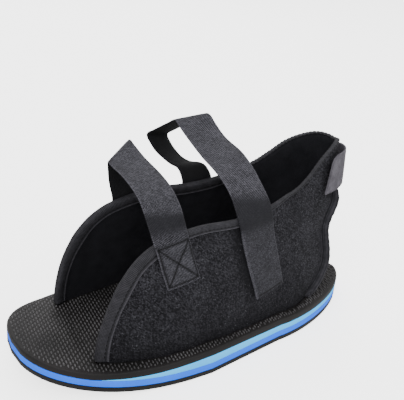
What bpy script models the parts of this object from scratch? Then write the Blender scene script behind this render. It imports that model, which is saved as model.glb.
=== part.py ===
"""Post operative shoe: open-toed canvas upper on a layered rocker sole, two instep straps and a heel tab.

Metres, +Z up. The toe points to -X, the near side is at -Y, and the sole rests on z = 0.
"""
import math

import bmesh
import bpy
import numpy as np

# Driving dimensions of the sole, in metres
SOLE_LENGTH = 0.285
BALL_WIDTH = 0.120
HEEL_WIDTH = 0.100
TOE_ROUND = 0.122
HEEL_ROUND = 0.096
TOE_SQUARENESS = 2.45
HEEL_SQUARENESS = 1.62
TOE_SPRING = 0.0160
ROCKER_SHARE = 0.385
OUTSOLE_THICKNESS = 0.0041
MIDSOLE_THICKNESS = 0.0050
FOOTBED_THICKNESS = 0.0046
WEDGE_THICKNESS = 0.0067
EDGE_CHAMFER = 0.0008
FOOTBED_EDGE_RADIUS = 0.0014

# Treads under the outsole
TREAD_PITCH = 0.0160
TREAD_WIDTH = 0.0032
TREAD_DEPTH = 0.0014
TREAD_MARGIN = 0.0090

# Driving dimensions of the upper
INSTEP_RISE = 0.082
HEEL_RISE = 0.122
WALL_THICKNESS = 0.0024
SLOT_DEPTH = 0.0028
CAP_START = 0.675
BULGE = 0.0015

# Tapes, straps and tab
BINDING_THICKNESS = 0.0009
BINDING_LEG = 0.0085
COLLAR_LEG = 0.0030
# Column numbers of the wall between which the binding narrows to the collar's
BINDING_NARROWS = (8.6, 10.6)
SEAM_FIN = 0.0058
SEAM_TAPE_THICKNESS = 0.0020
STRAP_THICKNESS = 0.0015
# Run over which a strap climbs from the wall onto the binding, and rows to each row of its seat
STRAP_STEP = 0.0040
SEAT_STEPS = 7
TAB_THICKNESS = 0.0016
TAB_STANDOFF = 0.0034

# Clearance kept between pieces that meet
GAP = 0.0003


def table(columns, rows):
    """Turns rows of numbers into one list for each named column."""
    return {name: [row[i] for row in rows] for i, name in enumerate(columns)}


# Room for the wedge between midsole and footbed, along the sole from toe to heel
WEDGE = table(("along", "thickness"), [
    (0.130, 0.00),
    (0.420, 1.00),
    (0.700, 0.72),
    (1.000, 0.55)])
WEDGE_START = 0.150

# Half widths of the wall where it leaves the footbed and at instep height, as shares of half the ball width
WALL = table(("along", "foot", "top"), [
    (0.120, 0.590, 0.545),
    (0.156, 0.625, 0.550),
    (0.184, 0.683, 0.556),
    (0.254, 0.767, 0.562),
    (0.353, 0.833, 0.566),
    (0.472, 0.815, 0.566),
    (0.609, 0.735, 0.545),
    (0.675, 0.675, 0.515)])

# Columns of the wall from its front edge to the back of the heel: where each meets the rim and the footbed,
# how far it has turned round the heel, and the height of the rim as shares of the two rises
RIM = table(("rim", "foot", "turn", "instep", "heel"), [
    (0.212, 0.156, 0.000, 0.683, 0.000),
    (0.232, 0.167, 0.000, 0.774, 0.000),
    (0.254, 0.181, 0.000, 0.850, 0.000),
    (0.289, 0.209, 0.000, 0.927, 0.000),
    (0.335, 0.261, 0.000, 0.973, 0.000),
    (0.377, 0.318, 0.000, 0.994, 0.000),
    (0.440, 0.409, 0.000, 1.000, 0.000),
    (0.511, 0.493, 0.000, 0.995, 0.000),
    (0.570, 0.563, 0.000, 1.000, 0.025),
    (0.626, 0.623, 0.000, 1.000, 0.100),
    (0.675, 0.675, 0.000, 1.000, 0.220),
    (0.675, 0.675, 0.130, 1.000, 0.350),
    (0.675, 0.675, 0.250, 1.000, 0.550),
    (0.675, 0.675, 0.360, 1.000, 0.750),
    (0.675, 0.675, 0.500, 1.000, 0.895),
    (0.675, 0.675, 0.700, 1.000, 0.985),
    (0.675, 0.675, 1.000, 1.000, 0.950)])

# Back of the heel seen from the side: height as a share of the heel rise, place along the sole
HEEL = table(("up", "back"), [
    (-0.05, 0.863),
    (0.000, 0.867),
    (0.060, 0.884),
    (0.130, 0.902),
    (0.200, 0.911),
    (0.290, 0.905),
    (0.380, 0.892),
    (0.440, 0.886),
    (0.500, 0.893),
    (0.570, 0.909),
    (0.640, 0.917),
    (0.780, 0.917),
    (1.000, 0.912)])

# The front strap from its stitched end on the near wall, over the instep, to the far wall. Each row gives the
# front and the rear edge: place along the sole, half-width share and height as a share of the instep rise
STRAP_COLUMNS = ("front", "front_side", "front_up", "rear", "rear_side", "rear_up", "fold")
FRONT_STRAP = table(STRAP_COLUMNS, [
    (0.289, -0.420, 1.115, 0.374, -0.520, 1.110, 0),
    (0.289, -0.240, 1.230, 0.374, -0.400, 1.205, 0),
    (0.289, -0.020, 1.290, 0.374, -0.190, 1.290, 0),
    (0.289, 0.230, 1.320, 0.373, 0.090, 1.340, 0),
    (0.289, 0.420, 1.325, 0.371, 0.440, 1.378, 0),
    (0.289, 0.600, 1.335, 0.366, 0.800, 1.460, 1),
    (0.296, 0.620, 1.145, 0.384, 0.720, 1.215, 0)])

REAR_STRAP = table(STRAP_COLUMNS, [
    (0.520, -0.440, 1.140, 0.620, -0.520, 1.120, 0),
    (0.520, -0.270, 1.230, 0.620, -0.340, 1.220, 0),
    (0.520, 0.000, 1.300, 0.620, -0.130, 1.320, 0),
    (0.520, 0.300, 1.350, 0.620, 0.130, 1.400, 0),
    (0.518, 0.720, 1.460, 0.618, 0.520, 1.455, 0),
    (0.514, 0.930, 1.545, 0.612, 0.880, 1.600, 1),
    (0.452, 1.140, 1.370, 0.530, 1.250, 1.325, 1),
    (0.470, 1.080, 1.240, 0.540, 1.180, 1.225, 0),
    (0.484, 0.960, 1.175, 0.556, 1.040, 1.135, 0),
    (0.495, 0.820, 1.140, 0.572, 0.900, 1.110, 0),
    (0.504, 0.690, 1.125, 0.586, 0.700, 1.140, 0)])

# Where each strap lies on the outside of a wall: place along the sole and height as a share of the instep
# rise for its two edges
SEAT_COLUMNS = ("front", "front_up", "rear", "rear_up")
FRONT_STRAP_NEAR = table(SEAT_COLUMNS, [
    (0.331, 0.450, 0.417, 0.480),
    (0.302, 0.810, 0.388, 0.840),
    (0.290, 0.960, 0.376, 1.000)])
FRONT_STRAP_FAR = table(SEAT_COLUMNS, [
    (0.306, 0.980, 0.396, 1.020),
    (0.320, 0.460, 0.410, 0.460)])
REAR_STRAP_NEAR = table(SEAT_COLUMNS, [
    (0.575, 0.330, 0.670, 0.400),
    (0.545, 0.650, 0.645, 0.700),
    (0.518, 1.010, 0.620, 1.050)])
REAR_STRAP_FAR = table(SEAT_COLUMNS, [
    (0.508, 1.020, 0.596, 1.040),
    (0.512, 0.460, 0.602, 0.460)])

# The bound heel seam, from the footbed to the rim: height as a share of the heel rise, turn round the heel,
# and how far the tape stands out as a share of its full stand
SEAM = table(("up", "turn", "fin"), [
    (0.00, 0.41, 0.45),
    (0.03, 0.44, 0.75),
    (0.08, 0.50, 1.00),
    (0.16, 0.57, 1.00),
    (0.35, 0.63, 1.00),
    (0.62, 0.68, 1.00),
    (0.67, 0.69, 0.80),
    (0.71, 0.70, 0.25),
    (0.93, 0.76, 0.25)])

# The heel tab, from its root on the far wall, round the back, to its free end on the near side: turn round
# the heel, middle height as a share of the heel rise, and stand-off as a share of the full one
TAB = table(("turn", "middle", "off"), [
    (1.640, 0.760, 0.00),
    (1.540, 0.770, 0.05),
    (1.350, 0.800, 0.60),
    (1.000, 0.832, 1.35),
    (0.750, 0.836, 1.35),
    (0.360, 0.836, 1.05)])
TAB_HEIGHT = 0.0285
# The tab's free end, from its lower corner to its rounded upper corner: turn given up at each height
TAB_END = table(("up", "short"), [
    (0.00, 0.000),
    (0.60, 0.055),
    (0.85, 0.085),
    (0.95, 0.120),
    (1.00, 0.180)])


def curve(data, key, across, position):
    """Value of column `across` at `position` of column `key`, on a smooth curve through the rows."""
    keys = data[key]
    values = data[across]
    last = len(keys) - 1
    place = min(max(position, keys[0]), keys[last])
    row = 0
    while row < last - 1 and place > keys[row + 1]:
        row += 1
    slopes = []
    for i in (row, row + 1):
        before = max(i - 1, 0)
        after = min(i + 1, last)
        slopes.append((values[after] - values[before]) / (keys[after] - keys[before]))
    step = keys[row + 1] - keys[row]
    t = (place - keys[row]) / step
    rise = values[row + 1] - values[row]
    return (values[row] + rise * (3 * t * t - 2 * t ** 3) + step * slopes[0] * (t ** 3 - 2 * t * t + t)
            + step * slopes[1] * (t ** 3 - t * t))


def rows_curve(data, across, index):
    """Value of column `across` at a fractional row number."""
    numbered = dict(data, row=list(range(len(data[across]))))
    return curve(numbered, "row", across, index)


def at(share):
    """Place on X of a share of the sole's length."""
    return (share - 0.5) * SOLE_LENGTH


def along(x):
    """Share of the sole's length at a place on X."""
    return x / SOLE_LENGTH + 0.5


def toe_lift(x):
    """Height of the sole's underside: flat under heel and ball, then the toe spring."""
    return TOE_SPRING * max(0.0, 1.0 - along(x) / ROCKER_SHARE) ** 2


def wedge_room(x):
    """Room between midsole and footbed."""
    return WEDGE_THICKNESS * max(0.0, np.interp(along(x), WEDGE["along"], WEDGE["thickness"]))


def outsole_top(x):
    return toe_lift(x) + OUTSOLE_THICKNESS


def midsole_top(x):
    return outsole_top(x) + GAP + MIDSOLE_THICKNESS


def footbed_bottom(x):
    return midsole_top(x) + GAP + wedge_room(x)


def footbed_top(x):
    return footbed_bottom(x) + FOOTBED_THICKNESS


def sole_outline(start=-SOLE_LENGTH / 2, toe_steps=18, side_steps=8, heel_steps=18):
    """Near side of the sole from toe to heel: places on X and half widths."""
    toe_end = -SOLE_LENGTH / 2 + TOE_ROUND
    heel_end = SOLE_LENGTH / 2 - HEEL_ROUND
    points = []
    for i in range(toe_steps):
        turn = math.pi / 2 * i / toe_steps
        points.append(toe_end - TOE_ROUND * math.cos(turn) ** (2 / TOE_SQUARENESS))
    for i in range(side_steps):
        points.append(toe_end + (heel_end - toe_end) * i / side_steps)
    for i in range(heel_steps + 1):
        turn = math.pi / 2 * i / heel_steps
        points.append(heel_end + HEEL_ROUND * math.sin(turn) ** (2 / HEEL_SQUARENESS))
    points = [start] + [x for x in points if x > start + 0.001]
    widths = []
    for x in points:
        side = BALL_WIDTH / 2 + (HEEL_WIDTH - BALL_WIDTH) / 2 * min(max((x - toe_end) / (heel_end - toe_end), 0), 1)
        toe = min(max((toe_end - x) / TOE_ROUND, 0), 1)
        heel = min(max((x - heel_end) / HEEL_ROUND, 0), 1)
        widths.append(side * (1 - toe ** TOE_SQUARENESS) ** (1 / TOE_SQUARENESS)
                      * (1 - heel ** HEEL_SQUARENESS) ** (1 / HEEL_SQUARENESS))
    return points, widths


def new_object(name, mesh, collection):
    """Puts a mesh in the scene under its name."""
    piece = bpy.data.objects.new(name, mesh)
    collection.objects.link(piece)
    return piece


def mesh_of(name, vertices, faces):
    """Mesh with its doubles merged and its faces pointing out."""
    mesh = bpy.data.meshes.new(name)
    mesh.from_pydata([tuple(v) for v in vertices], [], faces)
    work = bmesh.new()
    work.from_mesh(mesh)
    bmesh.ops.remove_doubles(work, verts=work.verts, dist=0.000001)
    bmesh.ops.recalc_face_normals(work, faces=work.faces)
    work.to_mesh(mesh)
    work.free()
    mesh.shade_smooth()
    mesh.set_sharp_from_angle(angle=math.radians(35))
    return mesh


def slab(name, collection, levels, start=-SOLE_LENGTH / 2):
    """A layer of the sole: rings of the outline, each with its inset and its height function."""
    xs, widths = sole_outline(start)
    count = len(xs)
    normals = []
    for i in range(count):
        before = max(i - 1, 0)
        after = min(i + 1, count - 1)
        run = (xs[after] - xs[before], -(widths[after] - widths[before]))
        size = math.hypot(*run)
        normals.append((run[1] / size, -run[0] / size))
    if widths[0] < 0.0001:
        normals[0] = (-1.0, 0.0)
    normals[-1] = (1.0, 0.0)
    vertices = []
    for inset, height in levels:
        near = [(x - n[0] * inset, -w - n[1] * inset) for x, w, n in zip(xs, widths, normals)]
        near = [(x, min(y, 0.0)) for x, y in near]
        far = [(x, -y) for x, y in reversed(near)]
        vertices += [(x, y, height(x)) for x, y in near + far]
    ring = 2 * count
    faces = []
    for level in range(len(levels) - 1):
        for i in range(ring):
            a = level * ring + i
            b = level * ring + (i + 1) % ring
            faces.append((a, b, b + ring, a + ring))
    for base in (0, (len(levels) - 1) * ring):
        for i in range(count - 1):
            faces.append((base + i, base + i + 1, base + ring - 2 - i, base + ring - 1 - i))
    return new_object(name, mesh_of(name, vertices, faces), collection)


def heel_back(height):
    """Place on X of the heel's back at a height over the footbed."""
    return at(curve(HEEL, "up", "back", height / HEEL_RISE))


def wall_half_width(x, height):
    """Half width of the wall's outer face at a place along the side and a height over the footbed."""
    share = along(x)
    foot = curve(WALL, "along", "foot", share)
    top = curve(WALL, "along", "top", share)
    lean = height / INSTEP_RISE
    swell = BULGE * math.sin(math.pi * min(max(lean, 0.0), 1.0))
    return (foot + (top - foot) * max(lean, 0.0)) * BALL_WIDTH / 2 + swell


def wall_point(side, place, turn, height):
    """Point on the wall's outer face: `place` along the sole, then `turn` of a quarter round the heel."""
    x = at(place)
    half = wall_half_width(x, height)
    angle = turn * math.pi / 2
    ahead = x + (heel_back(height) - at(CAP_START)) * math.sin(angle)
    return np.array((ahead, side * half * math.cos(angle), footbed_top(ahead) + height))


def column(index):
    """Rim place, foot place, turn and rim height of a column of the wall at a fractional row number."""
    rise = (rows_curve(RIM, "instep", index) * INSTEP_RISE
            + rows_curve(RIM, "heel", index) * (HEEL_RISE - INSTEP_RISE))
    turn = min(max(rows_curve(RIM, "turn", index), 0.0), 1.0)
    return rows_curve(RIM, "rim", index), rows_curve(RIM, "foot", index), turn, rise


LAST_COLUMN = len(RIM["rim"]) - 1
# Columns of the table along the side, and the steps of the wall's mesh along the side and round the heel
SIDE_COLUMNS = 9
SIDE_STEPS = 18
HEEL_STEPS = 18
# Shares of the wall's height at the rows of its mesh
WALL_ROWS = (0.0, 0.07, 0.14, 0.21, 0.28, 0.35, 0.42, 0.50, 0.58, 0.68, 0.83, 1.0)


def wall(side, index, up):
    """Point on the wall's outer face: column number, and share of the way up from the footbed to the rim."""
    rim, foot, turn, rise = column(index)
    power = 1.0 + max(0.0, 1.0 - index / 4)
    place = foot + (rim - foot) * max(up, 0.0) ** power
    return wall_point(side, place, turn, rise * up)


def unit(vector):
    return vector / np.linalg.norm(vector)


def wall_normal(side, index, up):
    """Outward normal of the wall, from two short steps on its face."""
    step = 0.02
    ahead = wall(side, min(index + step, LAST_COLUMN), up) - wall(side, max(index - step, 0), up)
    rise = wall(side, index, up + step) - wall(side, index, max(up - step, 0))
    return unit(np.cross(ahead, rise)) * -side


def wall_columns():
    """Column numbers from the near front edge to the heel and on to the far front edge, with their sides."""
    numbers = [SIDE_COLUMNS * i / SIDE_STEPS for i in range(SIDE_STEPS)]
    numbers += [SIDE_COLUMNS + (LAST_COLUMN - SIDE_COLUMNS) * i / HEEL_STEPS for i in range(HEEL_STEPS + 1)]
    return [(-1, number) for number in numbers] + [(1, number) for number in reversed(numbers[:-1])]


def nearest_on_wall(side, target, index, up):
    """Column number and share of height of the wall's point nearest to a target, from a first guess."""
    step = 0.01
    for _ in range(4):
        point = wall(side, index, up)
        ahead = (wall(side, index + step, up) - wall(side, index - step, up)) / (2 * step)
        rise = (wall(side, index, up + step) - wall(side, index, up - step)) / (2 * step)
        move = np.linalg.lstsq(np.stack([ahead, rise], 1), target - point, rcond=None)[0]
        index = min(max(index + move[0], step), LAST_COLUMN - step)
        up = up + move[1]
    return index, up


def loft(name, collection, sections):
    """A closed body through like sections, with flat ends."""
    size = len(sections[0])
    vertices = [point for section in sections for point in section]
    faces = []
    for i in range(len(sections) - 1):
        for j in range(size):
            a = i * size + j
            b = i * size + (j + 1) % size
            faces.append((a, b, b + size, a + size))
    faces.append(tuple(range(size)))
    faces.append(tuple(range(len(vertices) - size, len(vertices))))
    return new_object(name, mesh_of(name, vertices, faces), collection)


def surface(name, collection, grid, thickness):
    """A sheet through a grid of points on its outer face, thickened inwards."""
    height = len(grid[0])
    vertices = [point for line in grid for point in line]
    faces = []
    for i in range(len(grid) - 1):
        for j in range(height - 1):
            a = i * height + j
            faces.append((a, a + height, a + height + 1, a + 1))
    mesh = bpy.data.meshes.new(name)
    mesh.from_pydata([tuple(v) for v in vertices], [], faces)
    mesh.shade_smooth()
    sheet = new_object(name, mesh, collection)
    shell = sheet.modifiers.new("Thickness", "SOLIDIFY")
    shell.thickness = thickness
    shell.offset = -1
    shell.use_even_offset = True
    return sheet


def make_upper(collection):
    """The wall: near quarter, heel and far quarter in one piece, open at the toe and along the top."""
    grid = []
    for side, index in wall_columns():
        foot = wall(side, index, 0.0)
        grid.append([foot - np.array((0, 0, SLOT_DEPTH))] + [wall(side, index, up) for up in WALL_ROWS])
    return surface("upper", collection, grid, WALL_THICKNESS)


def make_slot(collection):
    """The groove that the wall stands in, as a cutter for the footbed."""
    room = 1.7 * GAP
    feet = []
    for side, index in wall_columns():
        normal = wall_normal(side, index, 0.03)
        feet.append((wall(side, index, 0.0), unit(normal * np.array((1, 1, 0)))))
    first = unit(feet[0][0] - feet[1][0])
    last = unit(feet[-1][0] - feet[-2][0])
    feet[0] = (feet[0][0] + first * room, feet[0][1])
    feet[-1] = (feet[-1][0] + last * room, feet[-1][1])
    sections = []
    for foot, normal in feet:
        outer = foot + normal * room
        inner = foot - normal * (WALL_THICKNESS + room)
        low = np.array((0, 0, -SLOT_DEPTH - GAP))
        high = np.array((0, 0, 3 * FOOTBED_EDGE_RADIUS))
        sections.append([outer + low, outer + high, inner + high, inner + low])
    slot = loft("slot_cutter", collection, sections)
    slot.hide_render = True
    slot.display_type = "WIRE"
    return slot


def make_treads(collection):
    """Shallow grooves across the outsole's underside, as one cutter."""
    vertices = []
    faces = []
    xs, widths = sole_outline()
    count = 2 * int((SOLE_LENGTH / 2 - TREAD_PITCH) / TREAD_PITCH)
    for i in range(count):
        x = (i - (count - 1) / 2) * TREAD_PITCH
        half = np.interp(x, xs, widths) - TREAD_MARGIN
        low = toe_lift(x - TREAD_WIDTH) - TREAD_DEPTH
        first = len(vertices)
        for dx in (-TREAD_WIDTH / 2, TREAD_WIDTH / 2):
            deep = toe_lift(x + dx) + TREAD_DEPTH
            for y in (-half, half):
                vertices += [(x + dx, y, low), (x + dx, y, deep)]
        faces += [[first + k for k in face] for face in (
            (0, 1, 3, 2), (4, 6, 7, 5), (0, 4, 5, 1), (2, 3, 7, 6), (0, 2, 6, 4), (1, 5, 7, 3))]
    treads = new_object("tread_cutter", mesh_of("tread_cutter", vertices, faces), collection)
    treads.hide_render = True
    treads.display_type = "WIRE"
    return treads


def cut(piece, cutter):
    """Takes the cutter's shape out of a piece."""
    boolean = piece.modifiers.new("Cut", "BOOLEAN")
    boolean.operation = "DIFFERENCE"
    boolean.solver = "EXACT"
    boolean.object = cutter


def make_sole(collection, cutters):
    """Outsole, midsole, wedge and footbed."""
    outsole = slab("outsole", collection, [
        (EDGE_CHAMFER, toe_lift),
        (0.0, lambda x: toe_lift(x) + EDGE_CHAMFER),
        (0.0, outsole_top)])
    cut(outsole, make_treads(cutters))
    midsole = slab("midsole", collection, [
        (0.0, lambda x: outsole_top(x) + GAP),
        (0.0, midsole_top)])
    wedge = slab("wedge", collection, [
        (0.0, lambda x: midsole_top(x) + GAP),
        (0.0, lambda x: footbed_bottom(x) - GAP)], start=at(WEDGE_START))
    footbed = slab("footbed", collection, [
        (0.0, footbed_bottom),
        (0.0, lambda x: footbed_top(x) - FOOTBED_EDGE_RADIUS),
        (0.3 * FOOTBED_EDGE_RADIUS, lambda x: footbed_top(x) - 0.3 * FOOTBED_EDGE_RADIUS),
        (FOOTBED_EDGE_RADIUS, footbed_top)])
    cut(footbed, make_slot(cutters))
    return outsole, midsole, wedge, footbed


def make_binding(collection):
    """The tape folded over the wall's edge, up the front edges and along the whole rim."""
    columns = wall_columns()
    start = 4 * GAP / column(0)[3]
    edge = [start] + list(WALL_ROWS[1:-1])
    path = [(-1, 0, up) for up in edge] + [(side, index, 1.0) for side, index in columns]
    path += [(1, 0, up) for up in reversed(edge)]
    points = [wall(*place) for place in path]
    out = GAP + BINDING_THICKNESS
    back = WALL_THICKNESS + GAP
    sections = []
    for i, (side, index, up) in enumerate(path):
        ahead = unit(points[min(i + 1, len(path) - 1)] - points[max(i - 1, 0)])
        normal = wall_normal(side, index, min(up, 0.98))
        down = unit(np.cross(ahead, normal))
        leg = np.interp(index, BINDING_NARROWS, (BINDING_LEG, COLLAR_LEG))
        point = points[i]
        lanes = []
        for reach in (leg, leg / 2):
            place = nearest_on_wall(side, point + down * reach, index, up)
            lanes.append((wall(side, *place), wall_normal(side, *place)))
        lanes.append((point, normal))
        outer = [foot + n * out for foot, n in lanes]
        inner = [foot - n * (back + BINDING_THICKNESS) for foot, n in reversed(lanes)]
        inside = [foot - n * back for foot, n in lanes[:2]] + [point - normal * back - down * GAP,
                  point + normal * GAP - down * GAP] + [foot + n * GAP for foot, n in reversed(lanes[:2])]
        sections.append(outer + [point + normal * GAP - down * out, point - normal * back - down * out]
                        + inner + inside)
    return loft("edge_binding", collection, sections)


def heel_point(turn, height, off=0.0):
    """Point off the heel's outer face: 0 turn on the near side, 1 at the back, 2 on the far side."""
    step = 0.01
    point = wall_point(-1, CAP_START, turn, height)
    ahead = wall_point(-1, CAP_START, turn + step, height) - wall_point(-1, CAP_START, turn - step, height)
    rise = wall_point(-1, CAP_START, turn, height + 0.001) - wall_point(-1, CAP_START, turn, height - 0.001)
    return point + unit(np.cross(ahead, rise)) * off


def heel_out(turn, height):
    """Level direction out of the heel."""
    return unit((heel_point(turn, height, 1.0) - heel_point(turn, height)) * np.array((1, 1, 0)))


def make_seam(collection):
    """The bound seam that stands out from the heel."""
    rows = 26
    first = 3 * GAP
    last = SEAM["up"][-1] * HEEL_RISE
    heights = [first + (last - first) * i / rows for i in range(rows + 1)]
    middle = []
    for height in heights:
        share = height / HEEL_RISE
        turn = curve(SEAM, "up", "turn", share)
        fin = np.interp(share, SEAM["up"], SEAM["fin"]) * SEAM_FIN
        root = heel_point(turn, height, 1.5 * GAP)
        middle.append((root, root + heel_out(turn, height) * fin))
    sections = []
    for i, (root, tip) in enumerate(middle):
        ahead = unit(middle[min(i + 1, rows)][0] - middle[max(i - 1, 0)][0])
        out = tip - root
        across = unit(np.cross(out, ahead)) * SEAM_TAPE_THICKNESS / 2
        sections.append([root - across, root + 0.8 * out - across, tip - 0.4 * across,
                         tip + 0.4 * across, root + 0.8 * out + across, root + across])
    return loft("heel_seam_binding", collection, sections)


def make_tab(collection):
    """The hook-and-loop heel tab."""
    grid = []
    steps = 28
    ups = TAB_END["up"][:1] + [0.3] + TAB_END["up"][1:]
    first = TAB["turn"][0]
    last = TAB["turn"][-1]
    ascending = {name: values[::-1] for name, values in TAB.items()}
    for i in range(steps + 1):
        line = []
        for up in ups:
            end = last + curve(TAB_END, "up", "short", up)
            turn = first + (end - first) * i / steps
            middle = curve(ascending, "turn", "middle", turn)
            off = GAP + curve(ascending, "turn", "off", turn) * TAB_STANDOFF + TAB_THICKNESS
            height = middle * HEEL_RISE + (up - 0.5) * TAB_HEIGHT
            line.append(heel_point(turn, height, off))
        grid.append(line)
    return surface("heel_tab", collection, grid[::-1], TAB_THICKNESS)


def side_point(side, x, height, off):
    """Point off the outer face of a side wall at a place on X and a height over the footbed."""
    def face(x, height):
        return np.array((x, side * wall_half_width(x, height), footbed_top(x) + height))
    step = 0.001
    ahead = face(x + step, height) - face(x - step, height)
    rise = face(x, height + step) - face(x, height - step)
    return face(x, height) + unit(np.cross(ahead, rise)) * -side * off


LANES = (0.0, 0.25, 0.5, 0.75, 1.0)


def under_rim(x, height):
    """How far a place on a side wall lies below the rim."""
    step = 0.001
    sides = {"rim": RIM["rim"][:SIDE_COLUMNS + 2], "rise": [column(i)[3] for i in range(SIDE_COLUMNS + 2)]}
    rise = curve(sides, "rim", "rise", along(x))
    slope = (curve(sides, "rim", "rise", along(x + step)) - rise) / step
    return (rise - height) / math.hypot(1, slope)


def seat_lift(x, height):
    """How far a strap's middle stands off the wall: it steps up where it covers the binding."""
    below = (under_rim(x, height) - BINDING_LEG - STRAP_STEP / 3) / STRAP_STEP
    t = min(max(1 - below, 0.0), 1.0)
    return GAP + STRAP_THICKNESS / 2 + (BINDING_THICKNESS + 1.5 * GAP) * (3 * t * t - 2 * t ** 3)


def seat_rows(data, side):
    """Lanes of a strap where it lies on a wall."""
    rows = []
    last = len(data["front"]) - 1
    steps = SEAT_STEPS * last
    for i in range(steps + 1):
        lanes = []
        for share in LANES:
            x = 0
            up = 0
            for edge, weight in (("front", 1 - share), ("rear", share)):
                x += weight * at(rows_curve(data, edge, i * last / steps))
                up += weight * rows_curve(data, edge + "_up", i * last / steps)
            height = up * INSTEP_RISE
            lanes.append(side_point(side, x, height, seat_lift(x, height)))
        rows.append(lanes)
    return rows


def free_rows(data):
    """Lanes of a strap where it stands free over the opening."""
    rows = []
    for i in range(len(data["front"])):
        ends = []
        for edge in ("front", "rear"):
            x = at(data[edge][i])
            y = data[edge + "_side"][i] * BALL_WIDTH / 2
            ends.append(np.array((x, y, footbed_top(x) + data[edge + "_up"][i] * INSTEP_RISE)))
        rows.append([ends[0] + (ends[1] - ends[0]) * share for share in LANES])
    return rows


def smooth_rows(rows, folds):
    """Closely spaced rows on a smooth path that keeps its folds crisp."""
    rows = np.array(rows)
    last = len(rows) - 1
    dense = []
    for i in range(last):
        start_slope = rows[min(i + 1, last)] - rows[i if folds[i] or i == 0 else i - 1]
        end_slope = rows[i + 1 if folds[i + 1] or i + 1 == last else i + 2] - rows[i]
        start_slope = start_slope if folds[i] or i == 0 else start_slope / 2
        end_slope = end_slope if folds[i + 1] or i + 1 == last else end_slope / 2
        reach = np.linalg.norm(rows[i + 1][2] - rows[i][2])
        steps = max(2, int(reach / 0.0015))
        for k in range(steps):
            t = k / steps
            dense.append(rows[i] * (2 * t ** 3 - 3 * t * t + 1) + start_slope * (t ** 3 - 2 * t * t + t)
                         + rows[i + 1] * (3 * t * t - 2 * t ** 3) + end_slope * (t ** 3 - t * t))
    dense.append(rows[last])
    path = np.array(dense)
    for _ in range(2):
        path[1:-1] = (path[:-2] + 2 * path[1:-1] + path[2:]) / 4
    kept = [0]
    for i in range(1, len(path) - 1):
        run = np.linalg.norm(path[i][2] - path[kept[-1]][2])
        before = unit(path[i][2] - path[kept[-1]][2])
        after = unit(path[i + 1][2] - path[i][2])
        if run > 0.006 or before @ after < math.cos(math.radians(7)):
            kept.append(i)
    return path[kept + [len(path) - 1]]


def make_strap(name, collection, near, free, far):
    """A webbing strap: stitched to the near wall, free over the opening, stitched to the far wall."""
    far_rows = seat_rows(far, 1)
    near_rows = seat_rows(near, -1)
    rows = near_rows + free_rows(free) + far_rows
    folds = [0] * len(near_rows) + free["fold"] + [0] * len(far_rows)
    path = smooth_rows(rows, folds)
    sections = []
    for i, lanes in enumerate(path):
        ahead = path[min(i + 1, len(path) - 1)] - path[max(i - 1, 0)]
        upper = []
        lower = []
        for k in range(len(LANES)):
            across = lanes[min(k + 1, len(LANES) - 1)] - lanes[max(k - 1, 0)]
            normal = unit(np.cross(ahead[k], across))
            upper.append(lanes[k] + normal * STRAP_THICKNESS / 2)
            lower.append(lanes[k] - normal * STRAP_THICKNESS / 2)
        sections.append(upper + lower[::-1])
    return loft(name, collection, sections)


def paint(piece, colour, roughness):
    """Gives a piece its own material."""
    material = bpy.data.materials.new(piece.name)
    material.use_nodes = True
    shader = material.node_tree.nodes["Principled BSDF"]
    shader.inputs["Base Color"].default_value = colour
    shader.inputs["Roughness"].default_value = roughness
    shader.inputs["Metallic"].default_value = 0.0
    piece.data.materials.append(material)


BLACK_RUBBER = (0.020, 0.018, 0.018, 1)
MID_BLUE = (0.090, 0.270, 0.800, 1)
LIGHT_BLUE = (0.210, 0.580, 0.930, 1)
CANVAS = (0.024, 0.024, 0.028, 1)
WEBBING = (0.045, 0.045, 0.055, 1)
TAPE = (0.030, 0.030, 0.036, 1)
LOOP_PILE = (0.100, 0.090, 0.110, 1)


def main():
    for old in list(bpy.data.objects):
        bpy.data.objects.remove(old)
    parts = bpy.data.collections.new("post_operative_shoe")
    cutters = bpy.data.collections.new("cutters")
    bpy.context.scene.collection.children.link(parts)
    bpy.context.scene.collection.children.link(cutters)
    outsole, midsole, wedge, footbed = make_sole(parts, cutters)
    paint(outsole, BLACK_RUBBER, 0.75)
    paint(midsole, MID_BLUE, 0.60)
    paint(wedge, LIGHT_BLUE, 0.60)
    paint(footbed, BLACK_RUBBER, 0.80)
    paint(make_upper(parts), CANVAS, 0.90)
    paint(make_binding(parts), TAPE, 0.80)
    paint(make_seam(parts), TAPE, 0.80)
    paint(make_tab(parts), LOOP_PILE, 0.95)
    paint(make_strap("front_strap", parts, FRONT_STRAP_NEAR, FRONT_STRAP, FRONT_STRAP_FAR), WEBBING, 0.85)
    paint(make_strap("rear_strap", parts, REAR_STRAP_NEAR, REAR_STRAP, REAR_STRAP_FAR), WEBBING, 0.85)


main()
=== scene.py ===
"""Looks of the post operative shoe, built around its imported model.

Metres, +Z up. The toe points to -X and the near side is at -Y.
"""

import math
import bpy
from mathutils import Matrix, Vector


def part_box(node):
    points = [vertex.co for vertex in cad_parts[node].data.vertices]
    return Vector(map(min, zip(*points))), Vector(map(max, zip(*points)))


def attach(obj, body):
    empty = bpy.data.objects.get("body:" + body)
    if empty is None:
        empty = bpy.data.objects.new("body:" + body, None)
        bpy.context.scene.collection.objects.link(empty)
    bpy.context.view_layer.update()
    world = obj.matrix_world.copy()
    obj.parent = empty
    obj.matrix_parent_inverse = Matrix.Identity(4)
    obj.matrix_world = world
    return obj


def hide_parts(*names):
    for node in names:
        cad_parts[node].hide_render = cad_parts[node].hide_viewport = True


bl_info = {
    "name": "Post Operative Shoe",
    "version": (1, 0, 0),
    "blender": (4, 5, 0),
    "location": "View3D > Sidebar > Shoe",
    "description": "Cloth, webbing, rubber and stitching of a post operative shoe",
    "category": "Add Mesh",
}

import bmesh
import bpy
import numpy as np
from mathutils import Matrix, Vector
from mathutils.bvhtree import BVHTree

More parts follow.
